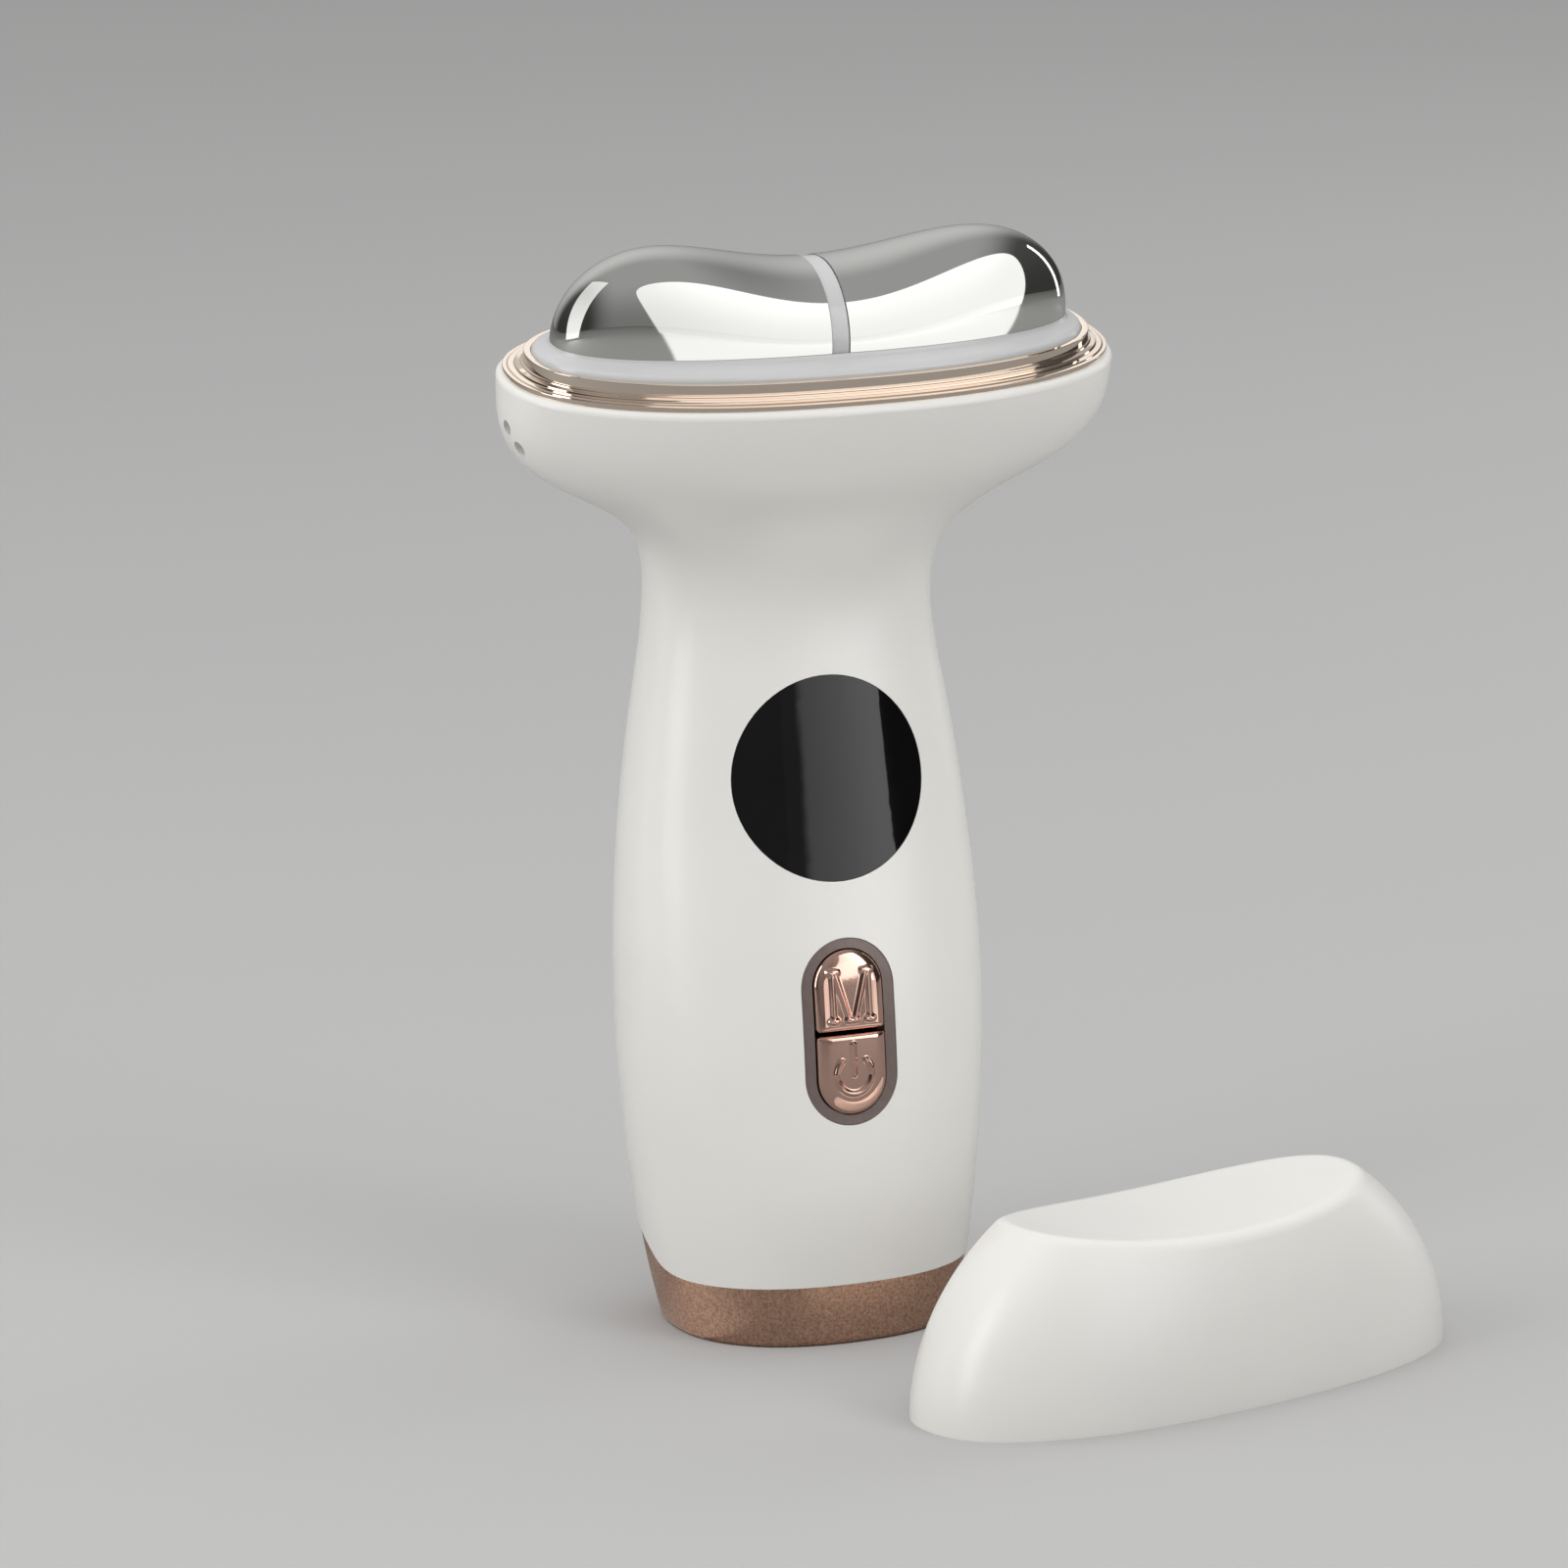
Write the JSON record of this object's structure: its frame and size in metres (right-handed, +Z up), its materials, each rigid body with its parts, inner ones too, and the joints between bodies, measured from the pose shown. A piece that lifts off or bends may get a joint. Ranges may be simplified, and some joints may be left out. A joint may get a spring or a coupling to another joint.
{
  "type": "face and neck massager",
  "caption": "Hand-held face and neck massager: T-shaped body with chrome contact plates on a pitched head, round display, push keys, flat foot and a separate protective cap.",
  "frame": {"origin": "middle of the flat underside of the foot, on the surface it stands on", "axes": "+Z up along the handle, -Y the way the display and keys look, +X to the right of someone who looks at the display"},
  "size_m": [0.1271, 0.0956, 0.1599],
  "materials": {
    "pearl_white": "pearl white, soft gloss",
    "rose_gold": "rose-gold metallic plating on moulded plastic",
    "champagne_gold": "bright champagne-gold plating on moulded plastic",
    "guide_grey": "translucent pearl grey",
    "plate_chrome": "mirror chrome",
    "display_black": "gloss black window",
    "frame_taupe": "satin taupe",
    "board_green": "circuit board",
    "black_plastic": "moulded black",
    "cell_foil": "foil pouch",
    "lamp_white": "clear lamp body",
    "contact_brass": "gold-plated brass",
    "steel": "plain steel"
  },
  "bodies": {
    "massager": {"front_shell": "pearl_white", "rear_shell": "pearl_white", "foot_cap": "rose_gold", "trim_ring": "champagne_gold", "light_guide": "guide_grey", "left_electrode": "plate_chrome", "right_electrode": "plate_chrome", "display_window": "display_black", "button_frame": "frame_taupe", "main_board": "board_green", "led_board": "board_green", "charge_board": "board_green", "display_module": "black_plastic", "mode_switch": "black_plastic", "power_switch": "black_plastic", "battery_tray": "black_plastic", "motor_clamp": "black_plastic", "buzzer": "black_plastic", "battery": "cell_foil", "led_chips": "lamp_white", "left_contact": "contact_brass", "right_contact": "contact_brass", "motor_can": "steel", "head_screws": "steel", "board_screws": "steel", "charge_socket": "steel"},
    "mode_key": {"mode_button": "rose_gold"},
    "power_key": {"power_button": "rose_gold"},
    "rotor": {"motor_rotor": "steel"},
    "cap": {"protective_cap": "pearl_white"}
  },
  "joints": [
    {"name": "mode_press", "type": "slide", "parent": "massager", "child": "mode_key", "axis": [0, 0.9935, -0.1141], "range_m": [0, 0.0005], "stiffness_N_per_m": 3000},
    {"name": "power_press", "type": "slide", "parent": "massager", "child": "power_key", "axis": [0, 0.9935, -0.1141], "range_m": [0, 0.0005], "stiffness_N_per_m": 3000},
    {"name": "rotor_spin", "type": "hinge", "parent": "massager", "child": "rotor", "pos_m": [-0.005, 0.007, 0.117], "axis": [1, 0, 0], "continuous": true},
    {"name": "cap_lift", "type": "slide", "parent": "massager", "child": "cap", "axis": [0, 0, 1], "range_m": [0, 0.06]}
  ]
}
